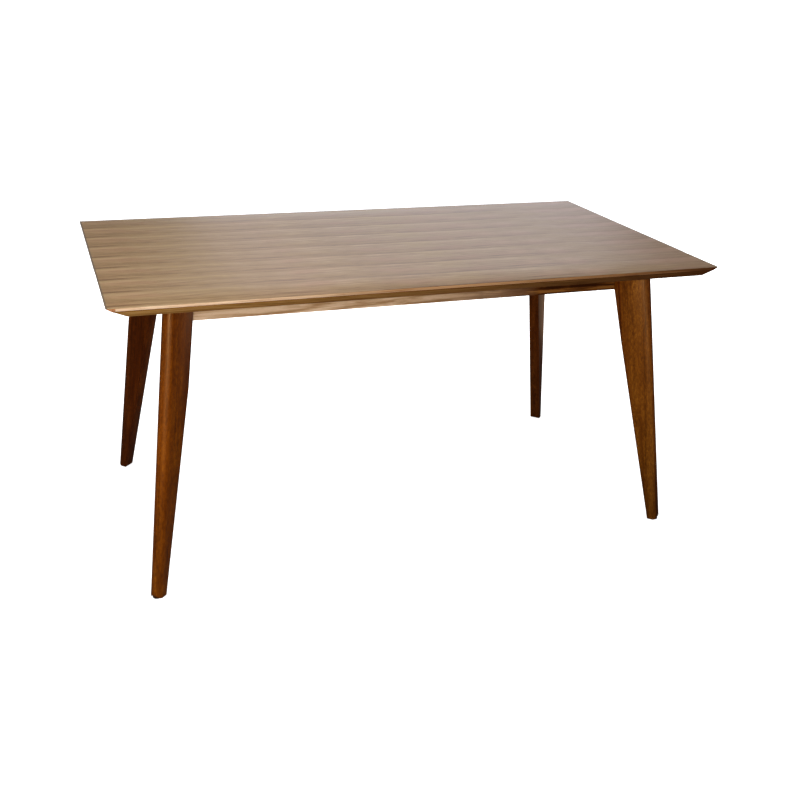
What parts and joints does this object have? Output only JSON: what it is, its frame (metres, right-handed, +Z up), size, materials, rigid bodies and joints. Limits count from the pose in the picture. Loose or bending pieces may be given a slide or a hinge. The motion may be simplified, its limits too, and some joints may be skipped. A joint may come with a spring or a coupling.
{
  "type": "dining table",
  "caption": "Rectangular dining table with a slip-matched veneered top, under-bevelled ends, an apron frame and splayed plank legs set on the corner diagonals.",
  "frame": {"origin": "centre of the table's footprint, on the floor", "axes": "+X along the table, +Y across it towards the side away from the viewer, +Z up"},
  "size_m": [1.56, 0.85, 0.76],
  "materials": {
    "face_veneer": "satin lacquered walnut veneer",
    "pale_lipping": "satin lacquered pale wood",
    "dark_edge_wood": "satin stained wood",
    "core_board": "raw fibreboard",
    "balancing_veneer": "lacquered veneer",
    "apron_wood": "satin lacquered figured wood",
    "leg_wood": "satin stained hardwood",
    "inner_hardwood": "planed hardwood",
    "zinc_screws": "zinc plated",
    "zinc_bolts": "zinc plated",
    "glide_plastic": "moulded"
  },
  "bodies": {
    "root": {"apron_back": "apron_wood", "apron_front": "apron_wood", "apron_left": "apron_wood", "apron_right": "apron_wood", "block_screws": "zinc_screws", "bolt_nuts": "zinc_bolts", "bolt_washers": "zinc_bolts", "button_screws": "zinc_screws", "corner_block_back_left": "inner_hardwood", "corner_block_back_right": "inner_hardwood", "corner_block_front_left": "inner_hardwood", "corner_block_front_right": "inner_hardwood", "cross_rail": "inner_hardwood", "edge_lipping_back": "pale_lipping", "edge_lipping_front": "pale_lipping", "edge_lipping_left": "pale_lipping", "edge_lipping_right": "pale_lipping", "edge_strip_back": "dark_edge_wood", "edge_strip_front": "dark_edge_wood", "edge_strip_left": "dark_edge_wood", "edge_strip_right": "dark_edge_wood", "foot_glides": "glide_plastic", "leg_back_left": "leg_wood", "leg_back_right": "leg_wood", "leg_bolts": "zinc_bolts", "leg_front_left": "leg_wood", "leg_front_right": "leg_wood", "lower_core_board": "core_board", "top_buttons": "inner_hardwood", "underside_veneer": "balancing_veneer", "upper_core_board": "core_board", "veneer_leaf_1": "face_veneer", "veneer_leaf_2": "face_veneer", "veneer_leaf_3": "face_veneer", "veneer_leaf_4": "face_veneer", "veneer_leaf_5": "face_veneer", "veneer_leaf_6": "face_veneer", "veneer_leaf_7": "face_veneer", "veneer_leaf_8": "face_veneer"}
  },
  "joints": []
}
